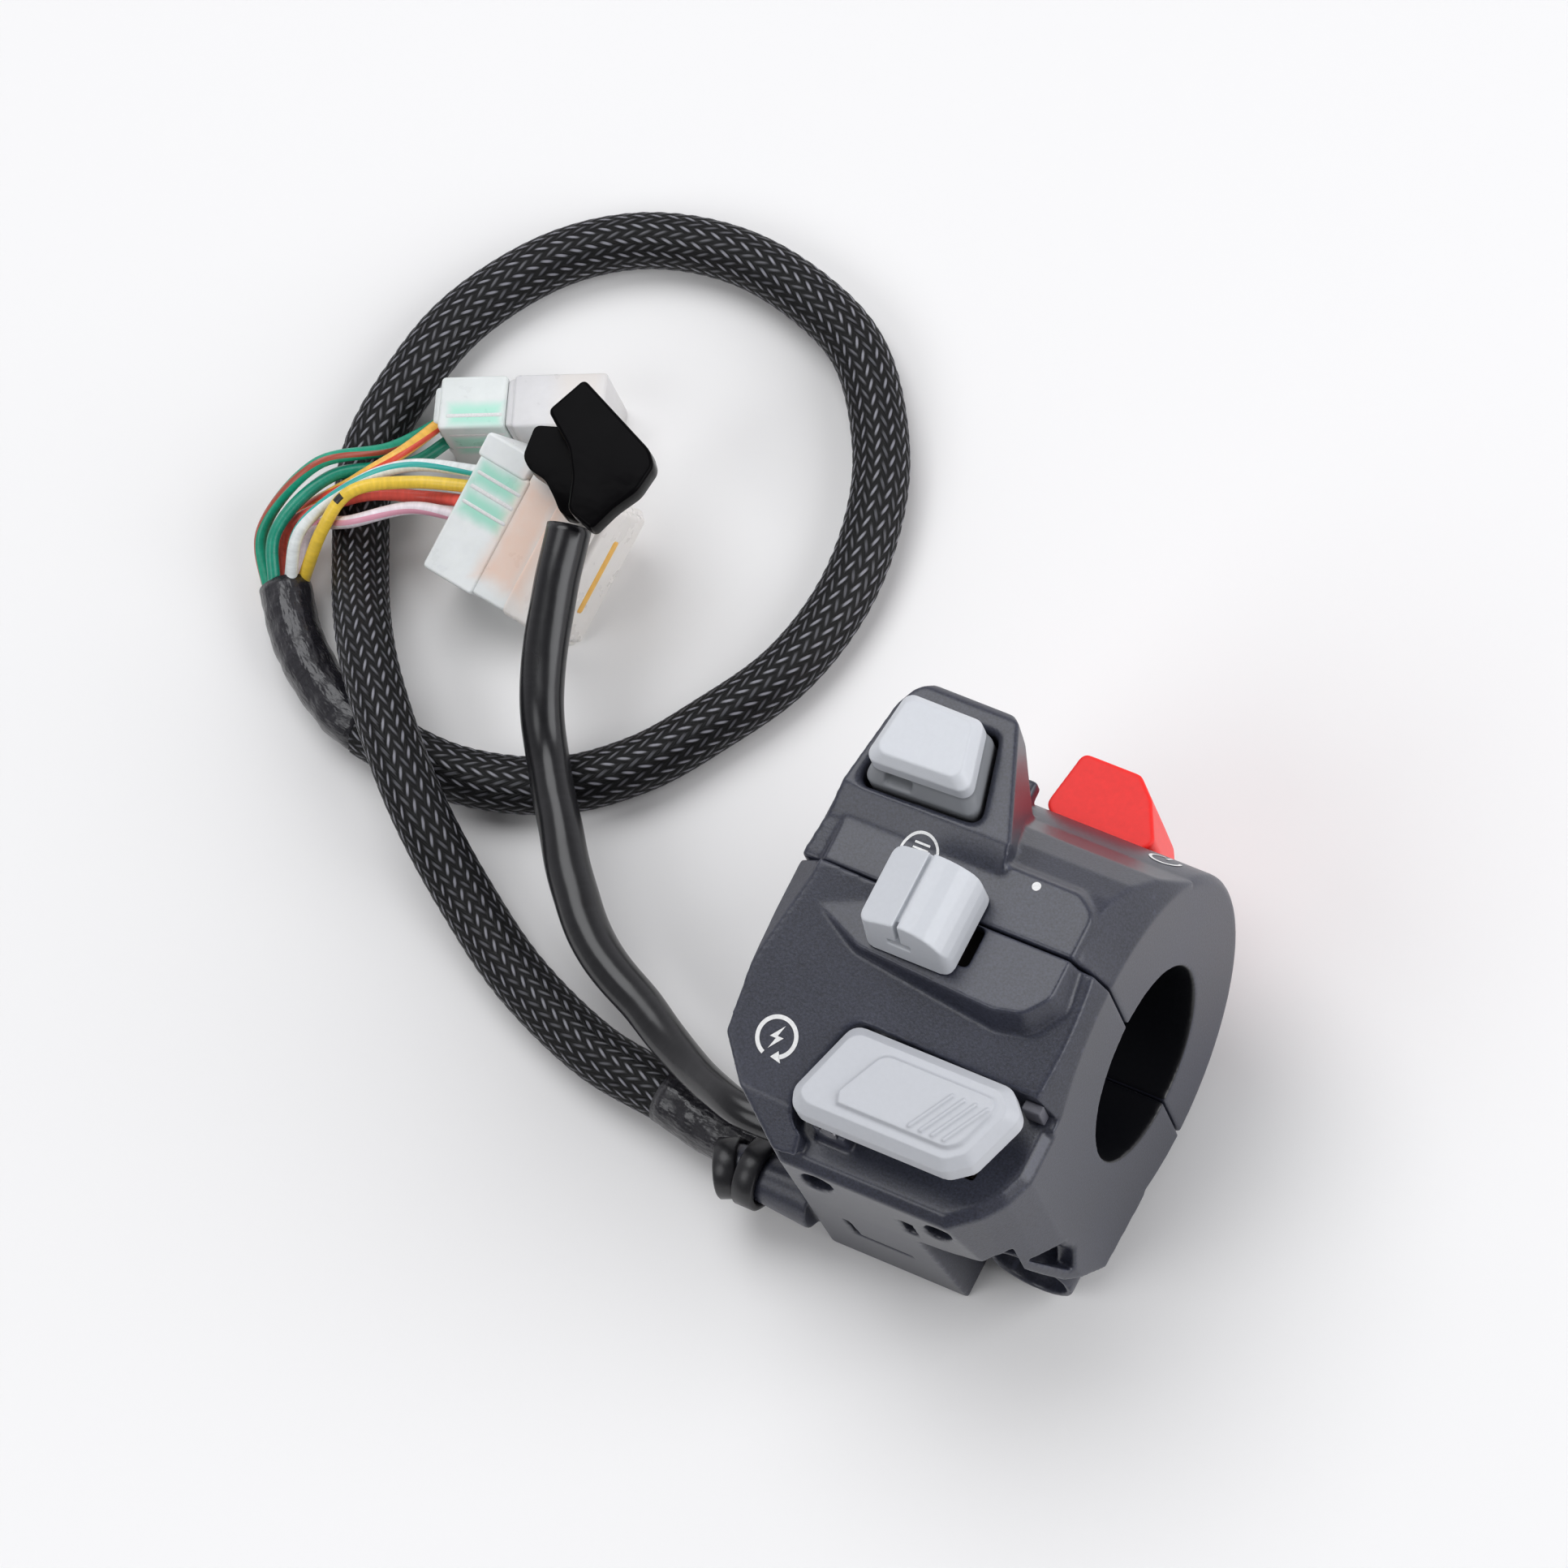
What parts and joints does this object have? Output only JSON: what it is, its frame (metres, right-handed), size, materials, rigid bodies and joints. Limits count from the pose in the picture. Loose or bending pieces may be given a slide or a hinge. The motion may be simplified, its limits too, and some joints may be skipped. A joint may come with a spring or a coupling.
{
  "type": "handlebar switch cluster",
  "caption": "Two-part housing that clamps on a round handlebar, with push button, sliding switch, starter paddle, red stop rocker and a sleeved wiring harness with connectors.",
  "frame": {"origin": "on the bar axis, at the outboard end face of the case", "axes": "+X along the bar, outboard; +Y up, square to the split between the case parts; +Z towards the rider"},
  "size_m": [0.1305, 0.109, 0.0559],
  "materials": {
    "case_plastic": "fine grain, satin",
    "steel": "plated",
    "key_plastic": "satin",
    "red_plastic": "satin",
    "contact_brass": "bare",
    "insulator": "matte",
    "stop_plastic": "matte",
    "tape": "glossy vinyl",
    "tie_plastic": "satin",
    "braid": "woven",
    "lead_sheath": "satin",
    "boot_sheath": "glossy",
    "wire_green": "glossy",
    "wire_green_dark": "glossy",
    "wire_orange": "glossy",
    "wire_red": "glossy",
    "wire_teal": "glossy, striped",
    "wire_yellow": "glossy",
    "wire_pink": "glossy",
    "plug_plastic": "milky",
    "socket_plastic": "milky",
    "seal_rubber": "matte"
  },
  "bodies": {
    "case": {"lower_case": "case_plastic", "upper_case": "case_plastic", "rear_screw": "steel", "front_screw": "steel", "button_spring": "steel", "button_base": "insulator", "light_base": "insulator", "light_terminal_1": "contact_brass", "light_terminal_2": "contact_brass", "light_terminal_3": "contact_brass", "starter_pin": "steel", "starter_spring": "steel", "starter_base": "insulator", "starter_terminal_1": "contact_brass", "starter_terminal_2": "contact_brass", "starter_stop": "stop_plastic", "stop_pin": "steel", "stop_base": "insulator", "stop_terminal_1": "contact_brass", "stop_terminal_2": "contact_brass", "near_tape": "tape", "cable_tie": "tie_plastic", "sleeve": "braid", "far_tape": "tape", "brake_lead": "lead_sheath", "large_boot": "boot_sheath", "small_boot": "boot_sheath", "wire_1": "wire_green", "wire_2": "wire_green_dark", "wire_3": "wire_orange", "wire_4": "wire_red", "wire_5": "wire_teal", "wire_6": "wire_yellow", "wire_7": "wire_pink", "upper_plug": "plug_plastic", "upper_socket": "socket_plastic", "lower_plug": "plug_plastic", "lower_socket": "socket_plastic", "lower_seal": "seal_rubber"},
    "top_button": {"top_button": "key_plastic", "button_contact": "contact_brass"},
    "light_slider": {"light_knob": "key_plastic", "light_carriage": "insulator", "light_bridge": "contact_brass"},
    "starter_paddle": {"starter_paddle": "key_plastic"},
    "stop_rocker": {"stop_rocker": "red_plastic"}
  },
  "joints": [
    {"name": "button_press", "type": "slide", "parent": "case", "child": "top_button", "axis": [0, 0, -1], "range_m": [0, 0.002], "stiffness_N_per_m": 800, "springref_m": -0.002, "deforming": ["button_spring"]},
    {"name": "light_slide", "type": "slide", "parent": "case", "child": "light_slider", "axis": [1, 0, 0], "range_m": [0, 0.0062]},
    {"name": "starter_press", "type": "hinge", "parent": "case", "child": "starter_paddle", "pos_m": [-0.021, -0.0202, 0.02], "axis": [0, 1, 0], "range_deg": [0, 6], "stiffness_Nm_per_rad": 0.3, "springref_deg": -2.86, "deforming": ["starter_spring"]},
    {"name": "stop_turn", "type": "hinge", "parent": "case", "child": "stop_rocker", "pos_m": [-0.0153, 0.0182, -0.0021], "axis": [0, 0, -1], "range_deg": [0, 14]}
  ]
}
